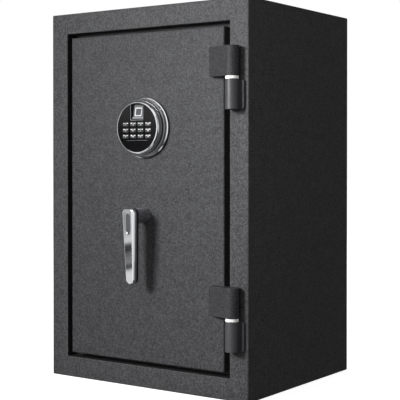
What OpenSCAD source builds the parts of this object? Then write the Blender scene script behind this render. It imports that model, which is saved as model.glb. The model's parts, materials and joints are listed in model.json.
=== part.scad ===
// Free-standing steel safe with an inset door, welded barrel hinges, a drop lever handle,
// cam-driven boltwork and a round fingerprint and keypad lock.
// +Z is up, -Y is the door side, and the origin lies on the floor plane at the centre of the body.

/* [Body] */
// Width of the body
body_w = 406; // [390:2:440]
// Depth of the body without the door furniture
body_d = 328; // [320:2:400]
// Height of the body
body_h = 626; // [606:2:700]
// Thickness of the outer sheet
shell_t = 2; // [1.5:0.25:2.5]
// Outside radius of the folds
edge_r = 3; // [2.5:0.25:4]
// Side, top and bottom wall, outside to inside
wall_t = 40; // [39:0.5:42]
// Back wall, outside to inside
back_t = 45; // [42:1:60]
// Thickness of the inner box sheet
liner_t = 1.5; // [1:0.25:2]

/* [Door frame] */
// Width of the face flange around the door
flange_w = 35; // [33:0.5:36]
// Depth of the recess that the door slab closes into
recess_d = 24; // [24:0.5:26]
// Width of the stop face behind the slab
stop_w = 18; // [17:0.5:20]
// Depth of the throat behind the stop face
throat_d = 22; // [20:0.5:23]
// Sheet thickness of the frame
frame_t = 2; // [1.5:0.25:2.5]
// Gap beside the slab, left and right
gap_side = 10; // [9:0.5:11]
// Gap above and below the slab
gap_end = 7.5; // [6:0.5:9]
// Thickness of the fire seal strip
seal_t = 1.6; // [1:0.1:1.8]
// Width of the fire seal strip
seal_w = 6; // [4:0.5:7]

/* [Door] */
// Thickness of the door slab
slab_t = 22; // [21:0.25:22]
// Sheet thickness of the door skin
skin_t = 2; // [1.5:0.25:2.5]
// Outside radius of the door skin's folds
skin_r = 2.5; // [2:0.25:3]
// Depth of the pan behind the slab
pan_d = 46; // [45:0.5:47]
// Sheet thickness of the pan and of its cover
pan_t = 1.5; // [1.25:0.25:2]
// Front of the slab to the plate that carries the boltwork
core_d = 36; // [34:0.5:36]
// Width of the pan's inward lip that the cover lies on
lip_w = 12; // [10:1:14]
// Gap between the cover's edge and the pan's outline
cover_inset = 3; // [2:0.5:4]
// Radius of the cover screws
screw_r = 2.5; // [2:0.25:3]

/* [Hinges] */
// Hinge axis to the body's right side
hinge_inset = 22.75; // [21:0.25:24]
// Radius of the knuckles
knuckle_r = 11; // [10:0.25:12]
// Height of one knuckle
knuckle_h = 47; // [42:1:54]
// Height of the thrust washer
washer_h = 4.5; // [3:0.5:7]
// Radius of the hinge pin
pin_r = 5; // [4:0.25:6]
// Length of pin above the washer
pin_up = 36; // [30:1:38]
// Middle of the upper thrust washer below the top of the body
upper_hinge_drop = 124.5; // [106:0.5:136]
// Middle of the lower thrust washer above the floor
lower_hinge_z = 129; // [110:0.5:140]
// Thickness of a leaf at its free end
leaf_t = 8; // [6:0.5:9]
// Hinge axis to the free end of the door leaf
leaf_reach = 46.5; // [44:0.5:52]
// Hinge axis to the right edge of the body pad
pad_reach = 17; // [15:0.5:18]
// Thickness of the body pad at its right edge
pad_t = 5.5; // [4.5:0.25:7]

/* [Boltwork] */
// Radius of the live bolts
bolt_r = 8; // [7:0.25:8.5]
// Length of a live bolt
bolt_len = 62; // [58:1:66]
// Length of a live bolt's bush
bush_len = 8; // [6:0.5:10]
// Outer live bolts to the ends of the pan
bolt_end = 89.5; // [80:0.5:100]
// Travel of the boltwork
throw = 20; // [16:0.5:20]
// Turn of the handle for the whole travel, in degrees
handle_turn = 90; // [80:1:100]
// Cam slot radius with the bolts drawn back
cam_r0 = 16; // [15.5:0.5:17]
// Width of rim left outside the cam slot
cam_rim = 7; // [5:0.5:8]
// Thickness of the cam
cam_t = 5; // [4:0.5:5]
// Thickness of the carriage plate
bar_t = 3; // [2.5:0.25:3.5]
// Width of the carriage's upright bar
bar_w = 42; // [40:1:44]
// Radius of the drive pin
drive_r = 4; // [3:0.25:4.5]
// Radius of the carriage studs
stud_r = 4; // [3:0.25:5]
// Radius of the fixed bolts on the hinge side
fixed_r = 7; // [6:0.25:7.25]
// Reach of the fixed bolts beyond the pan
fixed_out = 15.5; // [13:0.5:16]
// Base circle of the swing bolt's flank
swing_r = 24; // [22:0.5:26]
// Thickness of the swing bolt
swing_t = 6; // [5:0.5:7]

/* [Handle] */
// Middle of the lock and of the handle, right of the body's centre
lock_x = 2; // [0:0.5:4]
// Height of the handle axis above the floor
handle_z = 284; // [275:1:290]
// Radius of the neck
neck_r = 12.4; // [11:0.2:13]
// Length of the neck from the door to the lever
neck_len = 33; // [28:0.5:40]
// Lean of the lever's lower end towards the door, in degrees
lever_lean = 2.3; // [0:0.1:4]
// Thickness of the black back of the lever
back_plate_t = 3; // [2:0.5:4]
// Thickness of the bright cap
cap_t = 9; // [7:0.5:11]
// Half width of the lever at its upper end
lever_half_w = 13.5; // [13:0.25:15]
// Corner radius of the lever's upper end
lever_corner_r = 8.5; // [6:0.5:10]
// Radius of the lever's lower end
lever_tip_r = 9.5; // [8.5:0.25:11]
// Handle axis to the centre of the lower end
lever_len = 101; // [80:1:112]
// Width of the bevel around the cap
bevel_w = 3.2; // [2:0.2:4]
// Radius of the spindle
spindle_r = 6; // [5.5:0.1:6.5]

/* [Keypad lock] */
// Height of the lock's centre above the floor
lock_z = 427; // [424:1:440]
// Radius of the base flange
base_r = 50.3; // [50:0.1:52]
// Height of the base flange
base_h = 4.5; // [4:0.5:6]
// Radius of the housing's step
housing_r = 47; // [46.5:0.1:48]
// Radius of the bright bezel
bezel_r = 43.6; // [43:0.1:45]
// Front of the bezel from the door
lock_out = 22; // [21.5:0.5:25]
// Radius of the black face
face_r = 39.8; // [39:0.1:40.5]
// Thickness of the black face
face_t = 6; // [5.5:0.25:6.5]
// Width of a key
key_w = 12; // [10:0.1:12.4]
// Height of a key
key_h = 6.4; // [5.5:0.1:7]
// Pitch of the keys along a row
key_pitch_x = 15.4; // [14.8:0.1:15.8]
// Pitch of the rows
key_pitch_z = 9.9; // [9.4:0.1:10.2]
// Travel of a key
key_travel = 0.8; // [0.5:0.1:0.9]
// Width of the finger pocket
pocket_w = 25; // [22:0.5:26]
// Depth of the finger pocket at its upper end
pocket_d = 7; // [6:0.25:7.5]
// Side of the sensor frame
sensor_w = 14; // [12:0.5:16]

/* [Inside] */
// Height of the shelf's top above the floor
shelf_z = 316; // [250:2:400]
// Sheet thickness of the shelf
shelf_t = 1.5; // [1:0.25:2]
// Front-to-back depth of the shelf
shelf_d = 185; // [150:5:190]
// Thickness of the floor mat
mat_t = 3; // [2:0.5:5]
// Left-to-right spacing of the anchor holes
anchor_x = 200; // [160:5:240]
// Front-to-back spacing of the anchor holes
anchor_y = 120; // [100:5:130]
// Radius of an anchor hole
anchor_r = 6.5; // [5:0.25:8]
// Side of the battery box
battery_w = 66; // [64:1:72]
// Battery box to the right side of the pan
battery_side = 46; // [36:1:50]
// Battery box to the lower end of the pan
battery_up = 67; // [40:1:72]

/* [Hidden] */
$fn = 48;
cut = 1; // how far a cutting tool runs past a face
fit = 0.3; // clearance of sliding pieces
close_fit = 0.05; // clearance of the hinge pins and other turning fits
key_gap = 0.25; // clearance around a key

y_front = -body_d / 2;
y_back = body_d / 2;
side_x = body_w / 2;
upper_hinge_z = body_h - upper_hinge_drop;
y_stop = y_front + recess_d;
throat_in = flange_w + stop_w; // inset of the throat's inner face
y_throat = y_stop + throat_d;
liner_back_y = y_back - back_t;

slab_w = body_w - 2 * (flange_w + gap_side);
slab_z0 = flange_w + gap_end;
slab_h = body_h - 2 * slab_z0;
y_slab = y_front + slab_t;
y_pan = y_slab + pan_d;
y_cover = y_pan + pan_t;
y_bulk = y_front + core_d;
y_space = y_bulk + pan_t; // front of the boltwork space
pan_x = slab_w / 2 - stop_w;

hinge_x = side_x - hinge_inset;
face_gap = 0.5; // between a knuckle and the face behind it
hinge_y = y_front - knuckle_r - face_gap;
face_off = y_front - hinge_y; // hinge axis to the plane of the face

y_bolt = y_throat + 1 + bolt_r;
bolt_mid_z = body_h / 2;
bolt_pitch = slab_h / 2 - stop_w - bolt_end;
bolt_zs = [for (i = [-1:1]) bolt_mid_z + i * bolt_pitch];
bolt_tip_x = -pan_x - 1;
bar_x = -pan_x + pan_t + bush_len + throw + 1; // left edge of the bar, bolts drawn back
bar_end = 18; // bar beyond the outer bolts
y_bar = y_bolt - 3; // rear face of the carriage plate
y_cam = y_bar - bar_t - 3; // rear face of the cam
cam_r = cam_r0 + throw + drive_r + cam_rim;
stud_zs = [for (i = [-1, 1]) bolt_mid_z + i * bolt_pitch / 2];
stud_x = bar_x + 10;
stud_head_r = stud_r + 3;
stud_head_t = 2;
fixed_zs = [for (i = [-1, 1]) bolt_mid_z + i * bolt_pitch * 0.8];
fixed_head = 1; // how far a fixed bolt's head stands over its shank
y_fixed = y_pan - pan_t - fixed_r - fixed_head - fit;
screw_x = pan_x - lip_w / 2 - 1;
screw_zs = concat(stud_zs, [slab_z0 + stop_w + 25, body_h - slab_z0 - stop_w - 25]);
screw_head_t = 1.6;

swing_x = lock_x - 17;
swing_t0 = 0.3; // roll of the flank at rest, in radians
swing_t1 = swing_t0 + throw / swing_r + 0.07; // roll where the flank ends
swing_reach = swing_r * sqrt(1 + swing_t1 * swing_t1);
swing_hub = 7.5;
swing_room = 12.5; // radius of the room around the hub
swing_pin = 4;
case_wall = 3;
case_z0 = handle_z + cam_r + 2;
swing_z = case_z0 + case_wall + 1.5 + swing_reach;
case_z1 = lock_z - 5;
case_half_w = 32.5;
case_d = 22;
swing_y = y_bar - bar_t / 2; // middle of the swing bolt and of the carriage plate
tail_x = swing_x - swing_r * swing_t0 - fit; // edge of the carriage's finger
tail_z = swing_z - swing_r;
tail_h = 12;

face_h = lock_out - 0.7; // face above the door
face_back = face_h - face_t;
bezel_d = 9; // depth of the bezel ring
bezel_h0 = lock_out - bezel_d;
housing_in = face_r + 1.7;
housing_step = 3.5; // height of the housing's step over the base flange
key_proud = 0.6;
key_lip_t = 1; // flange behind the face that keeps a key in
key_lip_w = 0.8;
key_names = ["key_1", "key_2", "key_3", "key_4", "key_5", "key_6",
             "key_7", "key_8", "key_9", "key_star", "key_0", "key_hash"];
key_row_z = 5.8; // upper row above the lock's centre
mat_h = face_back - key_lip_t - key_travel - 0.2; // front of the keypad mat
key_mat_t = 1.4;
board_t = 1.6;
pocket_z = 12.7; // lower edge of the pocket above the lock's centre
pocket_h = face_r - pocket_z;
pocket_d0 = 3; // depth of the pocket at its lower edge
pocket_tilt = atan((pocket_d - pocket_d0) / pocket_h);
pocket_floor_t = 1.5;
sensor_up = 12.8; // centre of the sensor above the pocket's lower edge
sensor_t = 1;
cable_r = 2.5;
cable_bend = 10;
cable_z = case_z1 + cable_bend;

battery_x = pan_x - battery_side - battery_w;
battery_z = slab_z0 + stop_w + battery_up;
battery_d = 20;
battery_wall = 1.5;
cell_r = 7.2;
cell_len = 50;
cell_pitch = 15.2;
slide_t = 2; // thickness of the battery cover
grip_side = 18; // battery box's side to the grooves on its cover

// Outlines

// Points of a rounded rectangle about the origin, each corner an arc of n steps
function round_rect(w, h, r, n = 5) = [
    for (q = [0:3], k = [0:n])
        let (a = 90 * q + 90 * k / n, sx = (q == 0 || q == 3) ? 1 : -1, sy = q < 2 ? 1 : -1)
            [sx * (w / 2 - r) + r * cos(a), sy * (h / 2 - r) + r * sin(a)]];

// Points of an arc of radius r about c from angle a0 to a1
function arc(c, r, a0, a1, n = 8) = [for (k = [0:n]) let (a = a0 + (a1 - a0) * k / n)
    c + r * [cos(a), sin(a)]];

// The lever's outline drawn in by i: two rounded upper corners and a round tip, joined by tangents
function lever_outline(i) =
    let (corner = [lever_half_w - lever_corner_r, lever_half_w - lever_corner_r],
         tip = [0, -lever_len],
         line = tip - corner,
         side = atan2(line.y, line.x) + acos((lever_corner_r - lever_tip_r) / norm(line)))
    concat(arc(corner, lever_corner_r - i, side, 90),
           arc([-corner.x, corner.y], lever_corner_r - i, 90, 180 - side),
           arc(tip, lever_tip_r - i, 180 - side, 360 + side, 14));

// A box with all its edges rounded, standing on z = 0, centred in X and Y
module rounded_box(w, d, h, r) {
    intersection() {
        linear_extrude(h) polygon(round_rect(w, d, r));
        translate([0, d / 2, h / 2]) rotate([90, 0, 0]) linear_extrude(d) polygon(round_rect(w, h, r));
        translate([-w / 2, 0, h / 2]) rotate([90, 0, 90]) linear_extrude(w) polygon(round_rect(d, h, r));
    }
}

// A flat shape drawn in the X-Z plane, extruded from y0 to y1
module slice(y0, y1) {
    translate([0, y1, 0]) rotate([90, 0, 0]) linear_extrude(y1 - y0) children();
}

// A round rod along Y
module rod_y(r, y0, y1) {
    translate([0, y1, 0]) rotate([90, 0, 0]) cylinder(h = y1 - y0, r = r);
}

// A round rod along X
module rod_x(r, x0, x1) {
    translate([x0, 0, 0]) rotate([0, 90, 0]) cylinder(h = x1 - x0, r = r);
}

// The body's outline drawn in by i on all four sides, from y0 to y1
module body_box(i, y0, y1) {
    translate([-side_x + i, y0, i]) cube([body_w - 2 * i, y1 - y0, body_h - 2 * i]);
}

// The slab's outline drawn in by i on all four sides, from y0 to y1
module slab_box(i, y0, y1) {
    translate([-slab_w / 2 + i, y0, slab_z0 + i]) cube([slab_w - 2 * i, y1 - y0, slab_h - 2 * i]);
}

// A picture-frame ring of the body's outline between two insets
module body_ring(i_out, i_in, y0, y1) {
    difference() {
        body_box(i_out, y0, y1);
        body_box(i_in, y0 - cut, y1 + cut);
    }
}

module at_anchors() {
    for (x = [-1, 1], y = [-1, 1]) translate([x * anchor_x / 2, y * anchor_y / 2, 0]) children();
}

module anchor_holes(r) {
    at_anchors() translate([0, 0, -cut]) cylinder(h = wall_t + 4 * cut, r = r);
}

// Body pieces

module outer_shell() {
    color("#47474a") difference() {
        rounded_box(body_w, body_d, body_h, edge_r);
        body_box(shell_t, y_front + shell_t, y_back + cut);
        body_box(flange_w, y_front - cut, y_front + shell_t + cut);
        anchor_holes(anchor_r);
    }
}

// Folded frame: recess wall, stop face, throat and the return flange that meets the inner box
module door_frame() {
    color("#3a3a3d") union() {
        body_ring(flange_w - frame_t, flange_w, y_front + shell_t, y_stop + frame_t);
        body_ring(flange_w - frame_t, throat_in, y_stop, y_stop + frame_t);
        body_ring(throat_in - frame_t, throat_in, y_stop, y_throat);
        body_ring(wall_t - liner_t, throat_in, y_throat - frame_t, y_throat);
    }
}

module back_panel() {
    color("#47474a") body_box(shell_t, y_back - shell_t, y_back);
}

module wall_fill() {
    color("#b9b6ab") difference() {
        body_box(shell_t, y_front + shell_t, y_back - shell_t);
        body_box(flange_w - frame_t, y_front, y_stop + frame_t);
        body_box(throat_in - frame_t, y_front, y_throat);
        body_box(wall_t - liner_t, y_throat - frame_t, liner_back_y + liner_t);
        anchor_holes(anchor_r + 1.5);
    }
}

liner_seam = 0.2;

// Five flat sheets: the sides stand between floor and ceiling, and the back closes their ends
module inner_liner() {
    color("#8d8f92") difference() {
        body_box(wall_t - liner_t, y_throat, liner_back_y + liner_t);
        body_box(wall_t, y_throat - cut, liner_back_y);
        body_box(wall_t - liner_t - cut, liner_back_y - liner_seam, liner_back_y);
        for (z = [wall_t, body_h - wall_t - liner_seam])
            translate([-side_x, y_throat - cut, z])
                cube([body_w, liner_back_y - y_throat + cut - liner_seam / 2, liner_seam]);
        anchor_holes(anchor_r);
    }
}

// Steel tubes that line the anchor holes across the filling
module anchor_sleeves() {
    color("#a6a8aa") at_anchors() translate([0, 0, shell_t]) difference() {
        cylinder(h = wall_t - liner_t - shell_t, r = anchor_r + 1.5);
        translate([0, 0, -cut]) cylinder(h = wall_t, r = anchor_r);
    }
}

module fire_seal() {
    seal_in = throat_in - 0.5;
    color("#1d1d1f") body_ring(seal_in - seal_w, seal_in, y_stop - seal_t, y_stop);
}

shelf_y0 = liner_back_y - shelf_d - 2;
shelf_w = body_w - 2 * wall_t - 2;
shelf_lip = 16;

module shelf() {
    color("#8d8f92") translate([-shelf_w / 2, shelf_y0, shelf_z - shelf_lip]) difference() {
        cube([shelf_w, shelf_d, shelf_lip]);
        translate([-cut, shelf_t, -cut])
            cube([shelf_w + 2 * cut, shelf_d - 2 * shelf_t, shelf_lip + cut - shelf_t]);
    }
}

rail_w = 12;
rail_len = shelf_d - 20;

// Angle rails welded to the inner box, one each side
module shelf_rails() {
    color("#8d8f92") for (m = [0, 1]) mirror([m, 0, 0])
        translate([side_x - wall_t - rail_w, shelf_y0 + 10, shelf_z - shelf_t - rail_w]) difference() {
            cube([rail_w, rail_len, rail_w]);
            translate([-cut, -cut, -cut])
                cube([rail_w + cut - shelf_t, rail_len + 2 * cut, rail_w + cut - shelf_t]);
        }
}

module floor_mat() {
    mat_w = body_w - 2 * wall_t - 6;
    mat_y0 = y_cover + 10;
    color("#6f7075") difference() {
        translate([-mat_w / 2, mat_y0, wall_t]) cube([mat_w, liner_back_y - 3 - mat_y0, mat_t]);
        at_anchors() translate([0, 0, wall_t - cut]) cylinder(h = mat_t + 2 * cut, r = anchor_r + 3);
    }
}

// Hinges

module at_hinge(z) {
    translate([hinge_x, hinge_y, z]) children();
}

// Seen from above, about the hinge axis: from the free end on the door to the knuckle's tangent
module leaf_outline() {
    far = [-leaf_reach + 1.5, face_off - leaf_t];
    touch_a = atan2(far.y, far.x) + acos(knuckle_r / norm(far));
    edge = slab_w / 2 - hinge_x;
    polygon([[-leaf_reach, face_off], [-leaf_reach, far.y + 1.5], far,
             knuckle_r * [cos(touch_a), sin(touch_a)], [0, 0], [0, knuckle_r],
             [edge + 1, knuckle_r], [edge, face_off]]);
}

// Door leaf with its knuckle, above the washer whose middle is at z
module hinge_leaf(z) {
    corner = 5;
    leaf_w = leaf_reach + knuckle_r / 2;
    color("#3b3b3e") at_hinge(z + washer_h / 2 + close_fit) difference() {
        union() {
            cylinder(h = knuckle_h, r = knuckle_r);
            intersection() {
                linear_extrude(knuckle_h) leaf_outline();
                translate([-leaf_reach + leaf_w / 2, 0, knuckle_h / 2]) slice(-knuckle_r - cut, face_off)
                    polygon(round_rect(leaf_w, knuckle_h, corner));
            }
        }
        translate([0, 0, -cut]) cylinder(h = pin_up + 2 + cut, r = pin_r + close_fit);
    }
}

// Seen from above, about the hinge axis: the pad that fills in between the knuckle and the face
module pad_outline() {
    polygon([[-10, face_off], [-10, 8], [0, 0], [knuckle_r * cos(17), knuckle_r * sin(17)],
             [pad_reach - 1.5, face_off - pad_t], [pad_reach, face_off - pad_t + 2],
             [pad_reach, face_off]]);
}

// Body knuckle with its pad, below the washer whose middle is at z
module hinge_base(z) {
    corner = 5;
    color("#3b3b3e") at_hinge(z - washer_h / 2 - knuckle_h) difference() {
        union() {
            cylinder(h = knuckle_h, r = knuckle_r);
            intersection() {
                linear_extrude(knuckle_h) pad_outline();
                translate([0, 0, knuckle_h / 2]) slice(-cut, face_off)
                    polygon(round_rect(2 * pad_reach, knuckle_h, corner));
            }
        }
        translate([0, 0, 4]) cylinder(h = knuckle_h, r = pin_r);
    }
}

module hinge_pins() {
    color("#c9cbcc") for (z = [upper_hinge_z, lower_hinge_z])
        at_hinge(z - washer_h / 2 - knuckle_h + 4)
            cylinder(h = knuckle_h - 4 + washer_h + pin_up, r = pin_r);
}

module hinge_washers() {
    color("#e8e9ea") for (z = [upper_hinge_z, lower_hinge_z]) at_hinge(z - washer_h / 2) difference() {
        cylinder(h = washer_h, r = knuckle_r - 0.5);
        translate([0, 0, -cut]) cylinder(h = washer_h + 2 * cut, r = pin_r);
    }
}

// Door pieces

module at_handle() {
    translate([lock_x, 0, handle_z]) children();
}

bush_r = spindle_r + 3;

// Handle spindle's and lock cable's way through the front of the door
module door_holes() {
    at_handle() rod_y(bush_r, y_front - cut, y_space + cut);
    translate([lock_x, 0, cable_z]) rod_y(cable_r, y_front - cut, y_space + cut);
}

module door_skin() {
    color("#454548") difference() {
        translate([0, y_front + slab_t / 2, slab_z0]) rounded_box(slab_w, slab_t, slab_h, skin_r);
        slab_box(skin_t, y_front + skin_t, y_slab - skin_t);
        slab_box(stop_w, y_slab - skin_t - cut, y_slab + cut);
        door_holes();
    }
}

module door_fill() {
    color("#b9b6ab") difference() {
        union() {
            slab_box(skin_t, y_front + skin_t, y_slab - skin_t);
            slab_box(stop_w + pan_t, y_slab - skin_t - cut, y_bulk);
        }
        door_holes();
    }
}

// Folded tray behind the slab, with the lip that the cover is screwed to
module door_pan() {
    color("#3f3f42") difference() {
        slab_box(stop_w, y_slab - skin_t, y_pan);
        slab_box(stop_w + pan_t, y_slab - skin_t - cut, y_pan - pan_t);
        slab_box(stop_w + lip_w, y_pan - pan_t - cut, y_pan + cut);
        for (z = bolt_zs) translate([0, y_bolt, z]) rod_x(bolt_r + fit, -pan_x - cut, 0);
        for (z = fixed_zs) translate([0, y_fixed, z]) rod_x(fixed_r, 0, pan_x + cut);
        cover_screw_rods(screw_r);
    }
}

module cover_screw_rods(r) {
    for (x = [-1, 1], z = screw_zs) translate([x * screw_x, 0, z]) rod_y(r, y_pan - 5, y_cover);
}

module bolt_plate() {
    color("#9a9c9f") difference() {
        slab_box(stop_w + pan_t, y_bulk, y_space);
        door_holes();
    }
}

module door_cover() {
    color("#3f3f42") difference() {
        slab_box(stop_w + cover_inset, y_pan, y_cover);
        cover_screw_rods(screw_r);
        translate([battery_x, y_pan - cut, battery_z]) cube([battery_w, pan_t + 2 * cut, battery_w]);
    }
}

module cover_screws() {
    color("#55565a") union() {
        cover_screw_rods(screw_r);
        for (x = [-1, 1], z = screw_zs) translate([x * screw_x, 0, z])
            rod_y(screw_r + 2, y_cover, y_cover + screw_head_t);
    }
}

// Dowels on the hinge side that hold the door if the hinges are cut off
module fixed_bolts() {
    color("#d4d6d8") for (z = fixed_zs) translate([pan_x, y_fixed, z]) rotate([0, 90, 0]) union() {
        translate([0, 0, -pan_t - 6]) cylinder(h = 6, r = fixed_r + fixed_head);
        translate([0, 0, -pan_t]) cylinder(h = pan_t + fixed_out - 2, r = fixed_r);
        translate([0, 0, fixed_out - 2]) cylinder(h = 2, r1 = fixed_r, r2 = fixed_r - 2);
    }
}

// Boltwork

module bolt_bushes() {
    color("#b08d4a") union() {
        for (z = bolt_zs) translate([-pan_x + pan_t, y_bolt, z]) rotate([0, 90, 0]) difference() {
            cylinder(h = bush_len, r = bolt_r + 3);
            translate([0, 0, -cut]) cylinder(h = bush_len + 2 * cut, r = bolt_r + close_fit);
        }
        at_handle() difference() {
            union() {
                rod_y(bush_r, y_front, y_space);
                rod_y(bush_r + 4, y_space, y_space + 2);
            }
            rod_y(spindle_r + close_fit, y_front - cut, y_space + 3 + cut);
        }
    }
}

// Shouldered studs on the bolt plate that the carriage slides on
module carriage_studs() {
    color("#c4c6c8") for (z = stud_zs) translate([stud_x, 0, z]) union() {
        rod_y(stud_head_r, y_space, y_bar - bar_t - close_fit);
        rod_y(stud_r, y_bar - bar_t - close_fit, y_bar + close_fit);
        rod_y(stud_head_r, y_bar + close_fit, y_bar + close_fit + stud_head_t);
    }
}

pin_x = lock_x - cam_r0; // drive pin with the bolts drawn back

// Upright bar with two slots, the arm of the drive pin and the finger that the swing bolt blocks
module carriage_plate() {
    arm_h = 22;
    color("#a9abae") difference() {
        slice(y_bar - bar_t, y_bar) union() {
            translate([bar_x, bolt_zs[0] - bar_end])
                square([bar_w, bolt_zs[2] - bolt_zs[0] + 2 * bar_end]);
            translate([bar_x + bar_w / 2, handle_z - arm_h / 2])
                square([pin_x - bar_x - bar_w / 2, arm_h]);
            translate([pin_x, handle_z]) circle(drive_r + 3);
            translate([bar_x + bar_w / 2, tail_z - tail_h / 2])
                square([tail_x - bar_x - bar_w / 2, tail_h]);
        }
        for (z = stud_zs) slice(y_bar - bar_t - cut, y_bar + cut) union() {
            translate([stud_x, z]) circle(stud_r + fit);
            translate([stud_x + throw, z]) circle(stud_r + fit);
            translate([stud_x, z - stud_r - fit]) square([throw, 2 * (stud_r + fit)]);
        }
        translate([pin_x, 0, handle_z]) rod_y(drive_r, y_bar - bar_t - cut, y_bar + cut);
    }
}

// Round bolts with a flat where each is seated on the bar
module live_bolts() {
    color("#d4d6d8") for (z = bolt_zs) translate([bolt_tip_x, y_bolt, z]) difference() {
        rotate([0, 90, 0]) union() {
            cylinder(h = 1.5, r1 = bolt_r - 1.5, r2 = bolt_r);
            translate([0, 0, 1.5]) cylinder(h = bolt_len - 1.5, r = bolt_r);
        }
        translate([bar_x - bolt_tip_x, -bolt_r - cut, -bolt_r - cut])
            cube([bolt_len, bolt_r + cut + y_bar - y_bolt, 2 * (bolt_r + cut)]);
    }
}

module drive_pin() {
    color("#c4c6c8") translate([pin_x, 0, handle_z]) union() {
        rod_y(drive_r, y_cam - cam_t + 0.5, y_bar);
        rod_y(drive_r + 1.5, y_bar, y_bar + 1.5);
    }
}

// A point on the cam slot's centre line: the radius grows evenly with the turn
function cam_point(turn) = -(cam_r0 + throw * turn / handle_turn) * [cos(turn), sin(turn)];

// A point beside the centre line, d outwards
function cam_side(turn, d) =
    let (step = cam_point(turn + 0.5) - cam_point(turn - 0.5))
        cam_point(turn) + d * [step.y, -step.x] / norm(step);

// Disc with a spiral slot, drawn with the bolts drawn back
module cam_disc() {
    spare = 4; // degrees of slot beyond each end of the turn
    half = drive_r + 0.2;
    turns = [for (k = [0:28]) -spare + (handle_turn + 2 * spare) * k / 28];
    color("#c9a24a") at_handle() difference() {
        rod_y(cam_r, y_cam - cam_t, y_cam);
        rod_y(spindle_r, y_cam - cam_t - cut, y_cam + cut);
        slice(y_cam - cam_t - cut, y_cam + cut) union() {
            polygon(concat([for (t = turns) cam_side(t, half)],
                           [for (k = [28:-1:0]) cam_side(turns[k], -half)]));
            for (t = [turns[0], turns[28]]) translate(cam_point(t)) circle(half + 0.3);
        }
    }
}

module cam_screw() {
    color("#55565a") at_handle() union() {
        rod_y(spindle_r + 2.5, y_cam, y_cam + 1.6);
        rod_y(spindle_r - 0.5, y_cam + 1.6, y_cam + 4.6);
    }
}

// Lock behind the door

// A point of the involute flank about the pivot: rolled by t, seen in the rest position
function flank(t) =
    let (a = (t - swing_t0) * 180 / PI)
        swing_r * [-t * cos(a) + sin(a), -t * sin(a) - cos(a)];

// Die-cast case with the slot that the swing bolt turns in and the carriage's finger enters
module lock_case() {
    slot_half = swing_t / 2 + 0.5;
    color("#4a4b4e") union() {
        difference() {
            translate([lock_x - case_half_w, y_space, case_z0])
                cube([2 * case_half_w, case_d, case_z1 - case_z0]);
            slice(swing_y - slot_half, swing_y + slot_half) union() {
                translate([lock_x - case_half_w - cut, case_z0 + case_wall])
                    square([swing_x + swing_r * 0.75 - lock_x + case_half_w + cut,
                            swing_z - case_z0 - case_wall]);
                translate([swing_x, swing_z]) circle(swing_room);
            }
        }
        translate([swing_x, 0, swing_z]) rod_y(swing_pin, swing_y - slot_half, swing_y + slot_half);
    }
}

// Toothed bolt that swings out behind the carriage's finger when the bolts are thrown
module swing_bolt() {
    color("#d8c27a") difference() {
        slice(swing_y - swing_t / 2, swing_y + swing_t / 2) translate([swing_x, swing_z]) union() {
            circle(swing_hub);
            polygon(concat([[-swing_hub, 0]], [for (k = [0:14]) flank(swing_t1 * k / 14)],
                           [[swing_r * 0.4, -swing_reach * 0.93], [swing_r * 0.55, -swing_r * 0.8],
                            [swing_hub, 0]]));
        }
        translate([swing_x, 0, swing_z])
            rod_y(swing_pin + close_fit, swing_y - swing_t, swing_y + swing_t);
    }
}

// Cable from the keypad board through the door, then down into the lock case
module lock_cable() {
    y_bend = y_space + case_d / 2 - cable_bend;
    color("#26262a") translate([lock_x, 0, cable_z]) union() {
        rod_y(cable_r, y_front - board_h, y_bend);
        translate([0, y_bend, -cable_bend]) rotate([0, 90, 0]) rotate([0, 0, 180])
            rotate_extrude(angle = -90) translate([cable_bend, 0]) circle(cable_r);
    }
}

// Handle

// Local frame of the lever: x right, y up, z away from the door, origin on the back at the axis
module at_lever() {
    translate([lock_x, y_front - neck_len, handle_z]) rotate([lever_lean, 0, 0]) rotate([90, 0, 0])
        children();
}

module lever_clear() {
    room = neck_r + cut;
    at_lever() translate([-room, -room, 0]) cube([2 * room, 2 * room, room]);
}

module handle_cap() {
    slot_r = 4.5;
    slot_len = 22;
    color("#dfe1e3") at_lever() difference() {
        hull() {
            translate([0, 0, back_plate_t]) linear_extrude(cap_t - 3) polygon(lever_outline(0));
            translate([0, 0, back_plate_t]) linear_extrude(cap_t - 1.2) polygon(lever_outline(bevel_w * 0.35));
            translate([0, 0, back_plate_t]) linear_extrude(cap_t) polygon(lever_outline(bevel_w));
        }
        translate([0, 0, back_plate_t + cap_t - 0.7]) linear_extrude(2) union() {
            translate([-slot_r, -slot_len]) square([2 * slot_r, slot_len]);
            circle(slot_r);
            translate([0, -slot_len]) circle(slot_r);
        }
    }
}

module handle_back() {
    color("#1b1b1d") at_lever() linear_extrude(back_plate_t) polygon(lever_outline(0.8));
}

module handle_neck() {
    color("#3b3b3e") difference() {
        at_handle() rod_y(neck_r, y_front - neck_len - 2, y_front - fit);
        at_handle() rod_y(spindle_r, y_front - neck_len - 2 - cut, y_front + cut);
        lever_clear();
    }
}

module handle_spindle() {
    color("#c4c6c8") difference() {
        at_handle() rod_y(spindle_r, y_front - neck_len - 2, y_cam);
        lever_clear();
    }
}

// Lock on the door

// Local frame of the lock: x right, y up, z away from the door, origin on the door's face
module on_lock() {
    translate([lock_x, y_front, lock_z]) rotate([90, 0, 0]) children();
}

board_h = mat_h - key_mat_t - board_t; // rear of the circuit board above the door

module lock_base() {
    round_r = 1.8;
    color("#8f9194") difference() {
        on_lock() rotate_extrude() polygon(concat(
            [[0, 0], [base_r, 0]], arc([base_r - round_r, base_h - round_r], round_r, 0, 90, 5),
            [[0, base_h]]));
        translate([lock_x, 0, cable_z]) rod_y(cable_r, y_front - lock_out, y_front + cut);
    }
}

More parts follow.
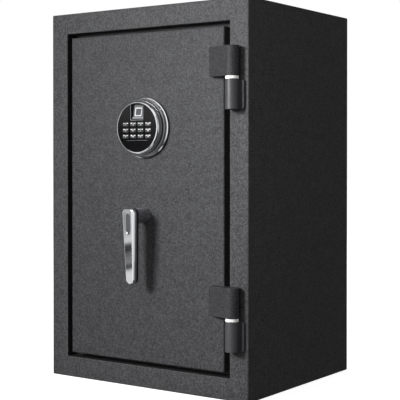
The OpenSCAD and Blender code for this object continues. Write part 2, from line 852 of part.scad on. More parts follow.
// Stepped ring between the base flange and the bezel
module lock_housing() {
    step_h = base_h + housing_step;
    neck = bezel_r + 0.8;
    color("#b9bbbd") on_lock() rotate_extrude() polygon([
        [housing_in, base_h], [housing_r - 0.6, base_h], [housing_r, base_h + 0.6],
        [housing_r, step_h - 1], [housing_r - 1, step_h], [neck + 0.6, step_h + 0.8],
        [neck, step_h + 1.6], [neck, bezel_h0], [housing_in, bezel_h0]]);
}

module lock_bezel() {
    lip = bezel_r - face_r;
    color("#e4e6e8") on_lock() rotate_extrude() polygon(concat(
        [[face_r, bezel_h0], [bezel_r, bezel_h0]],
        arc([bezel_r - lip * 0.6, lock_out - lip * 0.6], lip * 0.6, 0, 90, 8),
        [[face_r + lip * 0.15, lock_out], [face_r, lock_out - 0.8]]));
}

// Places of the twelve keys about the lock's centre, row by row
key_places = [for (row = [0:2], col = [0:3])
    [(col - 1.5) * key_pitch_x, key_row_z - row * key_pitch_z]];

module key_shape(grow) {
    polygon(round_rect(key_w + 2 * grow, key_h + 2 * grow, 1.6 + grow, 4));
}

// Wedge of the finger pocket, thinner by t all round
module pocket_wedge(t) {
    top = pocket_z + pocket_h + cut;
    floor_top = face_h - pocket_d - tan(pocket_tilt) * cut;
    translate([-pocket_w / 2 + t, 0, 0]) rotate([90, 0, 90]) linear_extrude(pocket_w - 2 * t)
        polygon([[pocket_z + t, face_h - pocket_d0 + t], [top, floor_top + t],
                 [top, lock_out + cut], [pocket_z + t, lock_out + cut]]);
}

// Glossy face with twelve key windows and the finger pocket's tray
module lock_face() {
    color("#141416") on_lock() difference() {
        union() {
            translate([0, 0, face_back]) cylinder(h = face_t, r = face_r, $fn = 64);
            intersection() {
                pocket_wedge(-pocket_floor_t);
                translate([0, 0, face_back - 5]) cylinder(h = 5, r = face_r);
            }
        }
        pocket_wedge(0);
        for (p = key_places) translate([p.x, p.y, face_back - cut])
            linear_extrude(face_t + 2 * cut) key_shape(key_gap);
    }
}

// Local frame of the pocket's sloped floor, at the sensor's centre
module on_pocket() {
    on_lock() translate([0, pocket_z + sensor_up, face_h - pocket_d0 - sensor_up * tan(pocket_tilt)])
        rotate([-pocket_tilt, 0, 0]) children();
}

module sensor_frame() {
    color("#d9dbdd") on_pocket() linear_extrude(sensor_t) difference() {
        polygon(round_rect(sensor_w, sensor_w, 1.2, 4));
        square(sensor_w - 3.6, center = true);
    }
}

module sensor_window() {
    color("#5c6068") on_pocket() translate([0, 0, sensor_t / 4])
        linear_extrude(sensor_t / 2) square(sensor_w - 3.6, center = true);
}

// Disc behind the keys, cut off below the pocket's tray
module keypad_disc(r, t) {
    intersection() {
        cylinder(h = t, r = r);
        translate([-r - cut, -r - cut, -cut])
            cube([2 * (r + cut), r + cut + pocket_z - pocket_floor_t - 0.5, t + 2 * cut]);
    }
}

module keypad_mat() {
    color("#3a3c42") on_lock() translate([0, 0, mat_h - key_mat_t]) keypad_disc(face_r - fit, key_mat_t);
}

module keypad_board() {
    color("#1f5a38") on_lock() translate([0, 0, board_h]) keypad_disc(housing_in, board_t);
}

// One key: a cap in its window, with a flange behind the face
module key(i) {
    color("#222225") on_lock() translate([key_places[i].x, key_places[i].y, 0]) union() {
        translate([0, 0, face_back - close_fit])
            linear_extrude(face_t + key_proud + close_fit) key_shape(0);
        translate([0, 0, face_back - close_fit - key_lip_t])
            linear_extrude(key_lip_t) key_shape(key_lip_w);
    }
}

// Battery box in the rear cover

module battery_box() {
    flange = 3;
    guide_h = slide_t + fit;
    inner = battery_w - 2 * battery_wall;
    color("#2a2a2d") translate([battery_x, y_cover, battery_z]) difference() {
        union() {
            translate([0, -battery_d, 0]) cube([battery_w, battery_d, battery_w]);
            translate([-flange, 0, -flange]) cube([battery_w + 2 * flange, 1.2, battery_w + 2 * flange]);
            for (x = [-flange, battery_w]) translate([x, 1.2, -flange])
                cube([flange, guide_h + 1.2, battery_w + 2 * flange]);
        }
        translate([battery_wall, -battery_d + battery_wall, battery_wall])
            cube([inner, battery_d + 2, inner]);
        translate([-flange + 1.4, 1.2, -flange - cut])
            cube([battery_w + 2 * (flange - 1.4), guide_h, battery_w + 2 * (flange + cut)]);
        translate([1.2, 1.2, -flange - cut])
            cube([battery_w - 2.4, guide_h + 1.2 + cut, battery_w + 2 * (flange + cut)]);
    }
}

module battery_cover() {
    wide = battery_w + 2 * (3 - 1.4 - fit);
    x0 = battery_x + battery_w / 2 - wide / 2;
    y0 = y_cover + 1.2 + fit / 2;
    color("#242427") difference() {
        translate([x0, y0, battery_z - 3]) cube([wide, slide_t, battery_w + 6]);
        for (k = [0:4]) translate([battery_x + grip_side, y0 + slide_t - 0.8, battery_z + 4 + 4 * k])
            cube([battery_w - 2 * grip_side, 1, 1.8]);
    }
}

module battery_cells() {
    first = battery_x + (battery_w - 3 * cell_pitch) / 2;
    color("#7c8a96") for (i = [0:3])
        translate([first + i * cell_pitch, y_cover - battery_d + battery_wall + cell_r,
                   battery_z + (battery_w - cell_len) / 2]) union() {
            cylinder(h = cell_len, r = cell_r);
            translate([0, 0, cell_len]) cylinder(h = 1.2, r = 2.7);
        }
}

outer_shell();
door_frame();
back_panel();
wall_fill();
inner_liner();
anchor_sleeves();
fire_seal();
shelf();
shelf_rails();
floor_mat();
hinge_base(upper_hinge_z);  // upper_hinge_base
hinge_base(lower_hinge_z);  // lower_hinge_base
hinge_pins();
hinge_washers();
door_skin();
door_fill();
door_pan();
bolt_plate();
door_cover();
cover_screws();
hinge_leaf(upper_hinge_z);  // upper_hinge_leaf
hinge_leaf(lower_hinge_z);  // lower_hinge_leaf
fixed_bolts();
bolt_bushes();
carriage_studs();
lock_base();
lock_housing();
lock_bezel();
lock_face();
sensor_frame();
sensor_window();
keypad_board();
keypad_mat();
lock_case();
lock_cable();
battery_box();
battery_cells();
handle_cap();
handle_back();
handle_neck();
handle_spindle();
cam_disc();
cam_screw();
carriage_plate();
live_bolts();
drive_pin();
swing_bolt();
battery_cover();
for (i = [0:11]) key(i);
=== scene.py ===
"""Looks of the free-standing steel safe: powder-coated body and door, chrome lever, round keypad lock.
Metres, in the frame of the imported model: +Z up, -Y out of the door's face. Lengths in the code are
millimetres until a mesh is made."""

import json
import math

import bmesh
import bpy
import numpy as np
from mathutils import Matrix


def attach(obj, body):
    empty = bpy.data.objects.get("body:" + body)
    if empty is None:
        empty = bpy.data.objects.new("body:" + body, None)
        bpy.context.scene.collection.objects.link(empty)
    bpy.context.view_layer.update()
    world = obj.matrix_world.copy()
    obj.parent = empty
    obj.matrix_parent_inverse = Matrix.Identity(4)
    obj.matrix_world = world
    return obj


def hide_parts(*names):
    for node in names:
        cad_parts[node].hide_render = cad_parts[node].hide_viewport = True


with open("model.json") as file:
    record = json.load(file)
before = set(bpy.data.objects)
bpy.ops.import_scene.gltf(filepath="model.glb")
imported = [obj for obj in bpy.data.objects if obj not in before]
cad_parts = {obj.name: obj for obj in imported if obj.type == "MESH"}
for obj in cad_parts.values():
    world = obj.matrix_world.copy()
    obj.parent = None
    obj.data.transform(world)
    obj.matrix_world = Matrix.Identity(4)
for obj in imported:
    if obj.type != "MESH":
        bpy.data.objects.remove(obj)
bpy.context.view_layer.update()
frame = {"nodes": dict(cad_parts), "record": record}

MM = 0.001
nodes = frame["nodes"]

# Places and sizes that the CAD source has too
Y_FRONT = -164.0  # face of the door and of the body
DOOR_HALF_W = 158.0  # its slab's
LOCK_X, LOCK_Z = 2.0, 427.0
LOCK_OUT = 22.0  # the bezel's rim in front of the door
FACE_R = 39.8
FACE_H = LOCK_OUT - 0.7  # the black face lies a little behind the rim
HANDLE_Z = 284.0
NECK_LEN = 33.0
LEVER_LEAN = math.radians(2.3)
HINGE_X, HINGE_Y = 180.25, -175.5
HINGE_MIDDLES = {"upper": 501.5, "lower": 129.0}
LOCK_CENTRE = (LOCK_X, 0.0, LOCK_Z)
HANDLE_CENTRE = (LOCK_X, 0.0, HANDLE_Z)
HINGE_CENTRE = (HINGE_X, HINGE_Y, 0.0)
MIDDLE_BOLT = (0.0, -109.0, 313.0)  # on its axis, which runs along X


# Camera: an eight-corner fit of the body in the photograph
cam_data = bpy.data.cameras.new("camera")
cam_data.lens = 97.05
cam_data.sensor_width = 36.0
cam_data.shift_y = -0.08
camera = bpy.data.objects.new("camera", cam_data)
camera.location = (1.091, -1.558, 0.379)
camera.rotation_euler = (math.radians(90 - 0.574), 0, math.radians(35.08))
bpy.context.scene.collection.objects.link(camera)
bpy.context.scene.camera = camera
bpy.context.scene.view_settings.view_transform = "Standard"


# Materials


def linear(code):
    """sRGB hex colour as linear red, green, blue and alpha."""
    channels = np.array([int(code[i : i + 2], 16) for i in (1, 3, 5)]) / 255
    low = channels <= 0.04045
    values = np.where(low, channels / 12.92, ((channels + 0.055) / 1.055) ** 2.4)
    return (*values.tolist(), 1.0)


def add(mat, kind, inputs=(), stops=(), **settings):
    """Adds a node with its properties and, on a ramp, its (place, colour) stops. Each input takes a value or
    another node's output socket."""
    node = mat.node_tree.nodes.new("ShaderNode" + kind)
    for key, value in settings.items():
        setattr(node, key, value)
    for key, value in dict(inputs).items():
        if isinstance(value, bpy.types.NodeSocket):
            mat.node_tree.links.new(value, node.inputs[key])
        else:
            node.inputs[key].default_value = value
    for index, (place, colour) in enumerate(stops):
        if index > 1:
            node.color_ramp.elements.new(place)
        node.color_ramp.elements[index].position = place
        node.color_ramp.elements[index].color = colour
    return node


def between(tones, low, high):
    """Stops of a ramp that holds the first tone up to low and the second from high on."""
    return [(low, linear(tones[0])), (high, linear(tones[1]))]


def material(name, colour, roughness, metallic=0.0, **shader):
    """A Principled surface of one colour; what its texture changes is linked in afterwards."""
    mat = bpy.data.materials.new(name)
    mat.use_nodes = True
    mat.node_tree.nodes.clear()
    inputs = {"Base Color": linear(colour), "Roughness": roughness, "Metallic": metallic}
    inputs.update({key.replace("_", " "): value for key, value in shader.items()})
    surface = add(mat, "BsdfPrincipled", inputs)
    add(mat, "OutputMaterial", {"Surface": surface.outputs[0]})
    return mat, surface


def join(mat, surface, sockets):
    """Lets sockets drive the surface's inputs of those names."""
    for name, socket in sockets.items():
        mat.node_tree.links.new(socket, surface.inputs[name])


def grained(mat, surface, size, height, tones, gloss):
    """A grain that lifts the surface by height in mm and runs between two tones and two roughnesses.
    Size is the spacing of the grains in mm, so the noise has 1000 / size of them to the metre."""
    place = add(mat, "TexCoord").outputs["Object"]
    grain = add(mat, "TexNoise", {"Vector": place, "Scale": 1000 / size, "Detail": 3.0, "Roughness": 0.6})
    ramp = add(mat, "ValToRGB", {"Fac": grain.outputs["Fac"]}, between(tones, 0.36, 0.66))
    bump = add(mat, "Bump", {"Height": grain.outputs["Fac"], "Strength": 1.0, "Distance": height * MM})
    span = add(mat, "MapRange", {"Value": grain.outputs["Fac"], "From Min": 0.3, "From Max": 0.7,
                                 "To Min": gloss[0], "To Max": gloss[1]})
    join(mat, surface, {"Base Color": ramp.outputs["Color"], "Normal": bump.outputs["Normal"],
                        "Roughness": span.outputs["Result"]})


def powder_coat(name, tones):
    """Textured polyester powder, sprayed and baked: fused grains that the eye reads as a fine speckle with
    hardly any shine. Real grains lie about a millimetre apart; they are drawn 2.2 mm apart so that they show,
    over a slow drift of tone every 16 mm."""
    mat, surface = material(name, tones[0], 0.5, Specular_IOR_Level=0.2)
    place = add(mat, "TexCoord").outputs["Object"]
    grain = add(mat, "TexNoise", {"Vector": place, "Scale": 1000 / 2.2, "Detail": 3.0, "Roughness": 0.65})
    drift = add(mat, "TexNoise", {"Vector": place, "Scale": 1000 / 16, "Detail": 3.0, "Roughness": 0.6})
    tone = add(mat, "MixRGB", {"Fac": 0.12, "Color1": grain.outputs["Fac"], "Color2": drift.outputs["Fac"]})
    ramp = add(mat, "ValToRGB", {"Fac": tone.outputs["Color"]}, between(tones, 0.385, 0.615))
    bump = add(mat, "Bump", {"Height": grain.outputs["Fac"], "Strength": 1.0, "Distance": 0.62 * MM})
    join(mat, surface, {"Base Color": ramp.outputs["Color"], "Normal": bump.outputs["Normal"]})
    return mat


def smooth_paint(name, tones, size=3.5, roughness=0.5):
    """Smooth powder coat on sheet: an even film with the faint dimples of orange peel, a few mm apart."""
    mat, surface = material(name, tones[0], roughness)
    grained(mat, surface, size, 0.06, tones, (roughness - 0.06, roughness + 0.06))
    return mat


def chrome(name, roughness=0.05):
    """Chrome plate on a polished casting: a mirror with a slight waviness every 22 mm and faint wipe marks."""
    mat, surface = material(name, "#e9eaec", roughness, 1.0)
    place = add(mat, "TexCoord").outputs["Object"]
    wave = add(mat, "TexNoise", {"Vector": place, "Scale": 1000 / 22, "Detail": 1.0})
    wipe = add(mat, "TexNoise", {"Vector": place, "Scale": 1000 / 3.0, "Detail": 4.0})
    span = add(mat, "MapRange", {"Value": wipe.outputs["Fac"], "To Min": roughness * 0.6,
                                 "To Max": roughness * 1.7})
    bump = add(mat, "Bump", {"Height": wave.outputs["Fac"], "Strength": 0.25, "Distance": 0.05 * MM})
    join(mat, surface, {"Roughness": span.outputs["Result"], "Normal": bump.outputs["Normal"]})
    return mat


def turned(name, colour, roughness, axis, centre, pitch=0.35):
    """Metal turned on a lathe: rings about the axis at the tool's feed, so highlights spread across them.
    The ring's radius is the length of the place with the axis' own part left out."""
    mat, surface = material(name, colour, roughness, 1.0)
    place = add(mat, "TexCoord").outputs["Object"]
    keep = [0.0 if k == axis else 1.0 for k in range(3)]
    shift = [-c * MM * k for c, k in zip(centre, keep)]
    flat = add(mat, "Mapping", {"Vector": place, "Location": shift, "Scale": keep})
    radius = add(mat, "VectorMath", {0: flat.outputs[0]}, operation="LENGTH")
    rings = add(mat, "TexNoise", {"W": radius.outputs["Value"], "Scale": 1000 / pitch, "Detail": 2.0},
                noise_dimensions="1D")
    span = add(mat, "MapRange", {"Value": rings.outputs["Fac"], "To Min": roughness * 0.7,
                                 "To Max": roughness * 1.3})
    bump = add(mat, "Bump", {"Height": rings.outputs["Fac"], "Strength": 0.5, "Distance": 0.02 * MM})
    join(mat, surface, {"Roughness": span.outputs["Result"], "Normal": bump.outputs["Normal"]})
    return mat


def zinc_plate(name, tones, roughness=0.34):
    """Bright zinc plate on rolled sheet: long fine rolling marks along X, 0.8 mm apart, which widen the
    highlights across them, and a faint cloudiness every 18 mm."""
    mat, surface = material(name, "#b9bcc0", roughness, 1.0)
    place = add(mat, "TexCoord").outputs["Object"]
    along = add(mat, "Mapping", {"Vector": place, "Scale": (0.04, 1, 1)})
    lines = add(mat, "TexNoise", {"Vector": along.outputs[0], "Scale": 1000 / 0.8, "Detail": 3.0})
    cloud = add(mat, "TexNoise", {"Vector": place, "Scale": 1000 / 18, "Detail": 4.0, "Roughness": 0.65})
    span = add(mat, "MapRange", {"Value": lines.outputs["Fac"], "To Min": roughness * 0.75,
                                 "To Max": roughness * 1.3})
    bump = add(mat, "Bump", {"Height": lines.outputs["Fac"], "Strength": 0.4, "Distance": 0.03 * MM})
    ramp = add(mat, "ValToRGB", {"Fac": cloud.outputs["Fac"]}, between(tones, 0.38, 0.64))
    join(mat, surface, {"Roughness": span.outputs["Result"], "Normal": bump.outputs["Normal"],
                        "Base Color": ramp.outputs["Color"]})
    return mat


def moulded(name, tones, roughness, size=0.9, height=0.03, **shader):
    """Moulded, cast or coated stuff: a fine, shallow texture under an even colour, which dulls the shine."""
    mat, surface = material(name, tones[0], roughness, **shader)
    grained(mat, surface, size, height, tones, (roughness * 0.85, roughness * 1.15))
    return mat


def carpet(name, tones):
    """Needle-felt carpet: matted grey fibres with darker flecks, and a soft sheen at its edges."""
    mat, surface = material(name, "#6a6b70", 0.95, Sheen_Weight=0.35, Sheen_Roughness=0.5)
    place = add(mat, "TexCoord").outputs["Object"]
    fibre = add(mat, "TexVoronoi", {"Vector": place, "Scale": 1000 / 2.4, "Randomness": 1.0})
    fleck = add(mat, "TexNoise", {"Vector": place, "Scale": 1000 / 1.6, "Detail": 5.0, "Roughness": 0.75})
    ramp = add(mat, "ValToRGB", {"Fac": fleck.outputs["Fac"]}, between(tones, 0.34, 0.62))
    pile = add(mat, "MixRGB", {"Fac": 0.5, "Color1": fibre.outputs["Distance"], "Color2": fleck.outputs["Fac"]})
    bump = add(mat, "Bump", {"Height": pile.outputs["Color"], "Strength": 1.0, "Distance": 1.2 * MM})
    join(mat, surface, {"Base Color": ramp.outputs["Color"], "Normal": bump.outputs["Normal"]})
    return mat


paint = {
    # Steel and its coats
    "powder_coat": powder_coat("textured_powder_coat", ("#252527", "#474749")),
    "shell_coat": powder_coat("shell_powder_coat", ("#282829", "#4d4d4f")),
    "hinge_coat": powder_coat("hinge_powder_coat", ("#1f1f21", "#3d3d40")),
    "hinge_enamel": smooth_paint("hinge_enamel", ("#303032", "#3b3b3e"), 3.0, 0.44),
    # The frame slot, the lining of the gap round the door, is near black: painted shade for that deep gap
    "frame_paint": smooth_paint("gap_lining_paint_painted_shade", ("#131314", "#1a1a1b"), 2.2, 0.58),
    "grey_paint": smooth_paint("grey_powder_coat", ("#84868a", "#8f9195")),
    "zinc_steel": zinc_plate("zinc_plated_sheet", ("#a4a8ac", "#c9ccce")),
    "bright_steel": turned("turned_steel", "#d5d7da", 0.16, 2, HINGE_CENTRE),
    "black_steel": moulded("blackened_steel", ("#26262a", "#34343a"), 0.38, 1.5, 0.02, Metallic=0.8),
    "bolt_steel": turned("ground_steel", "#cfd1d4", 0.2, 0, MIDDLE_BOLT),
    # Brass, castings and chrome
    "bronze": turned("satin_brass", "#c8a45c", 0.28, 1, HANDLE_CENTRE, 0.5),
    "chrome": chrome("chrome_plate"),
    "satin_chrome": turned("satin_chrome_ring", "#6c6c6e", 0.27, 1, LOCK_CENTRE, 0.6),
    "die_cast": moulded("zinc_die_casting", ("#5a5c60", "#6e7074"), 0.45, 1.4, 0.08, Metallic=0.9),
    # The neck's dark cast paint is drawn lighter than it is: painted fill light on a neck that faces away from
    # the key lamp
    "rough_cast": moulded("neck_casting_painted_fill", ("#47474b", "#8e8e94"), 0.6, 3.0, 0.35),
    # Filling, seal and carpet
    "fire_fill": moulded("cast_filling", ("#a5a196", "#c2beb2"), 0.95, 3.0, 0.6),
    "seal_rubber": moulded("intumescent_strip", ("#0d0d0e", "#141415"), 0.9, 1.2, 0.08,
                           Specular_IOR_Level=0.25),
    "carpet": carpet("needle_felt", ("#3f4046", "#8a8b90")),
    # Plastics and electronics
    "face_gloss": moulded("gloss_black_abs", ("#0b0b0c", "#101012"), 0.1, 6.0, 0.01, Coat_Weight=0.6,
                          Coat_Roughness=0.04),
    "key_plastic": moulded("satin_black_key", ("#0d0d0f", "#131315"), 0.3),
    "sensor_glass": moulded("sensor_glass", ("#3b3d41", "#4a4c50"), 0.22, 0.5, 0.02),
    "satin_silver": moulded("silver_painted_abs", ("#6a6c6f", "#77797c"), 0.42, 0.6, 0.02),
    "grey_inlay": moulded("grey_inlay", ("#333538", "#3d3f42"), 0.5, 0.6, 0.02),
    "bright_edge": moulded("silver_plated_abs", ("#cfd0d2", "#dcdddf"), 0.3, 0.6, 0.01),
    "pocket_grey": moulded("dark_silver_abs", ("#3a3b3e", "#454649"), 0.45, 0.6, 0.02),
    "white_print": moulded("screen_print_and_painted_highlight", ("#e6e6e4", "#f4f4f2"), 0.5, 0.6, 0.01),
    "board_green": moulded("solder_mask", ("#12502c", "#1a6639"), 0.3, 2.0, 0.03),
    "cable_black": moulded("cable_jacket", ("#161618", "#1e1e20"), 0.45, 1.0, 0.02),
    "black_plastic": moulded("black_abs", ("#1a1a1c", "#232325"), 0.42, 1.0, 0.06),
    "cell_wrap": moulded("shrink_wrap", ("#5c6b78", "#687886"), 0.3, 5.0, 0.02),
    "white_nylon": moulded("white_nylon", ("#eeeeec", "#f6f6f4"), 0.35, 2.0, 0.02),
}

# Every CAD node takes its slot's finish, but the bolts have turning marks about the middle one's axis
for entry in frame["record"]["subparts"]:
    node = entry["node"]
    finish = "bolt_steel" if node in ("fixed_bolts", "live_bolts") else entry["material_slot"]
    nodes[node].data.materials.clear()
    nodes[node].data.materials.append(paint[finish])


# Meshes


def quads(rows, columns):
    """Faces of a grid of rows and columns of points, closed round the columns."""
    i, j = np.meshgrid(np.arange(rows - 1), np.arange(columns), indexing="ij")
    right = (j + 1) % columns
    return np.stack([i * columns + j, i * columns + right, (i + 1) * columns + right, (i + 1) * columns + j],
                    -1).reshape(-1, 4)


def finish_piece(name, mesh, body, stands_for, sharp):
    """Smooth faces with the edges over the sharp angle kept crisp, at the origin, riding on the body."""
    mesh.polygons.foreach_set("use_smooth", [True] * len(mesh.polygons))
    mesh.set_sharp_from_angle(angle=math.radians(sharp))
    obj = bpy.data.objects.new(name, mesh)
    bpy.context.scene.collection.objects.link(obj)
    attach(obj, body)
    if stands_for:
        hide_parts(*stands_for)


def piece(name, parts, body, stands_for=(), sharp=32.0):
    """One finished piece from (points in mm, faces, material) parts: doubles merged, faces turned outwards."""
    verts, faces, picks, mats, start = [], [], [], [], 0
    for points, part_faces, mat in parts:
        if mat not in mats:
            mats.append(mat)
        verts.append(np.asarray(points, float).reshape(-1, 3) * MM)
        faces.extend((np.asarray(face) + start).tolist() for face in part_faces)
        picks.extend([mats.index(mat)] * len(part_faces))
        start += len(verts[-1])
    mesh = bpy.data.meshes.new(name)
    mesh.from_pydata(np.concatenate(verts).tolist(), [], faces)
    for mat in mats:
        mesh.materials.append(mat)
    mesh.polygons.foreach_set("material_index", picks)
    bm = bmesh.new()
    bm.from_mesh(mesh)
    bmesh.ops.remove_doubles(bm, verts=bm.verts, dist=1e-6)
    bmesh.ops.recalc_face_normals(bm, faces=bm.faces)
    bm.to_mesh(mesh)
    bm.free()
    finish_piece(name, mesh, body, stands_for, sharp)


def rounded(profile, radii, steps=5):
    """A profile whose inner corners become arcs: each corner is a quadratic curve from one cut-back
    point on the edge before it to one on the edge after, cut back by the corner's radius."""
    profile = np.asarray(profile, float)
    out = [profile[0]]
    t = np.linspace(0, 1, steps + 1)[:, None]
    for k in range(1, len(profile) - 1):
        before, corner, after = profile[k - 1 : k + 2]
        a, b = (corner + (end - corner) * min(radii[k] / np.linalg.norm(end - corner), 0.48)
                for end in (before, after))
        out.extend((1 - t) ** 2 * a + 2 * t * (1 - t) * corner + t**2 * b)
    out.append(profile[-1])
    return np.array(out)


def lathe(profile, centre, count=160):
    """A profile of (radius, height off the door) turned about the lock's or handle's axis:
    x = radius cos a, z = radius sin a, y = front of the door less the height."""
    angle = np.linspace(0, 2 * math.pi, count, endpoint=False)
    r, h = profile[:, 0][:, None], profile[:, 1][:, None]
    points = np.stack([centre[0] + r * np.cos(angle), Y_FRONT - h + 0 * angle, centre[2] + r * np.sin(angle)],
                      -1)
    return points, quads(len(profile), count)


# Lock rings, from the base flange to the bezel: profiles of (radius, height off the door)
# The base flange's side is black plastic: painted shade and a painted dark reflection at the lock's foot
skirt_profile = rounded([[0, 0.2], [50.2, 0.2], [50.2, 2.8], [49.5, 3.4]], [0, 0.4, 0.8, 0])
base_profile = np.array([[49.5, 3.4], [48.1, 4.4], [0, 4.4]])
piece("lock_base_ring", [(*lathe(skirt_profile, LOCK_CENTRE), paint["black_plastic"]),
                         (*lathe(base_profile, LOCK_CENTRE), paint["chrome"])],
      "door", ["lock_base"], 22.0)

step_profile = rounded([[41.6, 4.5], [46.9, 4.5], [46.9, 7.9], [44.5, 8.8], [44.4, 13.0], [41.6, 13.0],
                        [41.6, 4.5]], [0, 0.4, 0.6, 0.5, 0.3, 0.3, 0])
piece("lock_step_ring", [(*lathe(step_profile, LOCK_CENTRE), paint["satin_chrome"])],
      "door", ["lock_housing"])

bezel_profile = rounded([[39.85, 13.0], [43.6, 13.0], [43.6, 19.0], [41.4, 21.35], [40.1, 21.97],
                         [39.85, 13.0]], [0, 0.4, 2.2, 0.5, 0, 0], 8)
piece("lock_bezel_ring", [(*lathe(bezel_profile, LOCK_CENTRE), paint["chrome"])],
      "door", ["lock_bezel"])


# Front opening of the body: the same sheet with its inner edge rolled over, which catches the light. The
# opening's edges are those on the front that lie well inside the body's outline.
ROLL_R = 1.6
INSIDE_X, INSIDE_Z = 170.0, (30.0, 600.0)
shell_mesh = nodes["outer_shell"].data.copy()
shell = bmesh.new()
shell.from_mesh(shell_mesh)
bmesh.ops.remove_doubles(shell, verts=shell.verts, dist=1e-6)
bmesh.ops.dissolve_limit(shell, angle_limit=math.radians(0.5), verts=shell.verts, edges=shell.edges)
opening = [edge for edge in shell.edges
           if all(abs(v.co.y - Y_FRONT * MM) < 1e-5 and abs(v.co.x) < INSIDE_X * MM
                  and INSIDE_Z[0] * MM < v.co.z < INSIDE_Z[1] * MM for v in edge.verts)]
bmesh.ops.bevel(shell, geom=opening, offset=ROLL_R * MM, offset_type="OFFSET", segments=4, profile=0.5,
                affect="EDGES")
shell.to_mesh(shell_mesh)
shell.free()
shell_mesh.materials[0] = paint["shell_coat"]
finish_piece("rolled_shell", shell_mesh, "cabinet", ["outer_shell"], 28.0)


# Lever

LEVER_HALF_W, LEVER_CORNER_R, LEVER_TIP_R, LEVER_REACH = 13.5, 8.5, 9.5, 101.0
BACK_T, CAP_T = 3.0, 9.0
CAP_TOP = BACK_T + CAP_T
CROWN = 0.35  # fall of the cap's front at its widest
PAINTED_SHADE_BAND = 3.0  # height of the black band at the foot of the cap's side: painted shade in place of the dark reflection of the shaded door
FRONT_INSET = 4.0
PILL_LEN = 22.0


def with_sides(arcs, count=24):
    """Three arcs joined into one ring, with the two long straight sides divided into short steps."""
    t = np.linspace(0, 1, count + 2)[1:-1, None]
    left = arcs[1][-1] * (1 - t) + arcs[2][0] * t
    right = arcs[2][-1] * (1 - t) + arcs[0][0] * t
    return np.concatenate([arcs[0], arcs[1], left, arcs[2], right])


def lever_ring(inset):
    """The lever's outline drawn in by the inset, in its own plane: two corner arcs, a side, the tip's arc,
    a side. Every inset has the same count of points, so rings of different insets make a grid."""
    corner = np.array([LEVER_HALF_W - LEVER_CORNER_R] * 2)
    tip = np.array([0.0, -LEVER_REACH])
    line = tip - corner
    side = math.atan2(line[1], line[0]) + math.acos((LEVER_CORNER_R - LEVER_TIP_R) / np.linalg.norm(line))
    arcs = []
    for centre, radius, a0, a1, count in (
        (corner, LEVER_CORNER_R, side, math.pi / 2, 12),
        (corner * [-1, 1], LEVER_CORNER_R, math.pi / 2, math.pi - side, 12),
        (tip, LEVER_TIP_R, math.pi - side, 2 * math.pi + side, 36),
    ):
        a = np.linspace(a0, a1, count)[:, None]
        arcs.append(centre + (radius - inset) * np.hstack([np.cos(a), np.sin(a)]))
    return with_sides(arcs)


def pill_ring(radius):
    """A pill standing on the lever's axis, with the same count of points as the lever's outline."""
    arcs = []
    for low, a0, a1, count in ((0, 0, 90, 12), (0, 90, 180, 12), (-PILL_LEN, 180, 360, 36)):
        a = np.radians(np.linspace(a0, a1, count))[:, None]
        arcs.append(np.array((0, low)) + radius * np.hstack([np.cos(a), np.sin(a)]))
    return with_sides(arcs)


def lever_points(ring, height):
    """Points of the lever's plane at a height off its back, leant about the handle's axis and set on the
    neck."""
    height = np.broadcast_to(height, ring.shape[:1])
    y_up = ring[:, 1] * math.cos(LEVER_LEAN) - height * math.sin(LEVER_LEAN)
    out = height * math.cos(LEVER_LEAN) + ring[:, 1] * math.sin(LEVER_LEAN)
    return np.stack([LOCK_X + ring[:, 0], Y_FRONT - NECK_LEN - out, HANDLE_Z + y_up], -1)


def crown(ring, top):
    """Height of the cap's front: falls away evenly with the square of the distance from the middle line."""
    return top - CROWN * (ring[:, 0] / LEVER_HALF_W) ** 2


def pill_rows(steps):
    """Rows of the inlay's recess at (radius, height off the cap's front) steps."""
    return [lever_points(pill_ring(radius), crown(pill_ring(radius), CAP_TOP + height))
            for radius, height in steps]


# The cap's side is a profile of (inset, height off the lever's back); the crown comes in over its top 3 mm
cap_profile = rounded([[1.2, BACK_T], [0.02, BACK_T], [0.02, BACK_T + 3.4], [0.5, BACK_T + 5.7],
                       [1.3, BACK_T + 7.9], [2.8, CAP_TOP], [FRONT_INSET, CAP_TOP]],
                      [0, 0.6, 0.8, 1.1, 1.0, 0.6, 0], 6)
side_rows = []
for inset, height in cap_profile:
    ring = lever_ring(inset)
    drop = crown(ring, 0) * np.clip((height - CAP_TOP + 3) / 3, 0, 1)
    side_rows.append(lever_points(ring, height + drop))
split = int(np.argmax(cap_profile[:, 1] > BACK_T + PAINTED_SHADE_BAND)) + 1

# The front runs from the side's top ring to the recess, ring by ring in even shares of the way
recess_edge = ((4.7, 0.0), (4.6, -0.05))
recess = (recess_edge[1], (4.5, -0.16), (4.35, -0.5), (4.2, -0.66), (4.0, -0.7), (2.0, -0.7), (0.02, -0.7))
outer, inner = lever_ring(FRONT_INSET), pill_ring(recess_edge[0][0])
front_rows = []
for t in np.linspace(0, 1, 22)[1:-1]:
    ring = outer * (1 - t) + inner * t
    front_rows.append(lever_points(ring, crown(ring, CAP_TOP)))
# The lowest rows of the cap's side are black plastic, not chrome: painted shade in place of the shaded door
# that this side would mirror
piece("lever_cap", [(np.array(rows), quads(len(rows), len(outer)), paint[finish]) for rows, finish in
                    ((side_rows[:split], "black_plastic"),
                     (side_rows[split - 1 :] + front_rows + pill_rows(recess_edge), "chrome"),
                     (pill_rows(recess), "grey_inlay"))], "handle", ["handle_cap"], 40.0)

# Neck: a painted casting with its ends' edges broken
NECK_R = 12.3
neck_profile = rounded([[0, 0.02], [NECK_R, 0.02], [NECK_R, NECK_LEN - 0.4], [0, NECK_LEN - 0.4]],
                       [0, 0.5, 0.8, 0])
# Its grey is lightened as painted fill light
piece("lever_neck", [(*lathe(neck_profile, HANDLE_CENTRE, 96), paint["rough_cast"])],
      "handle", ["handle_neck"])


# Hinges: outlines are seen from above, about the hinge's axis

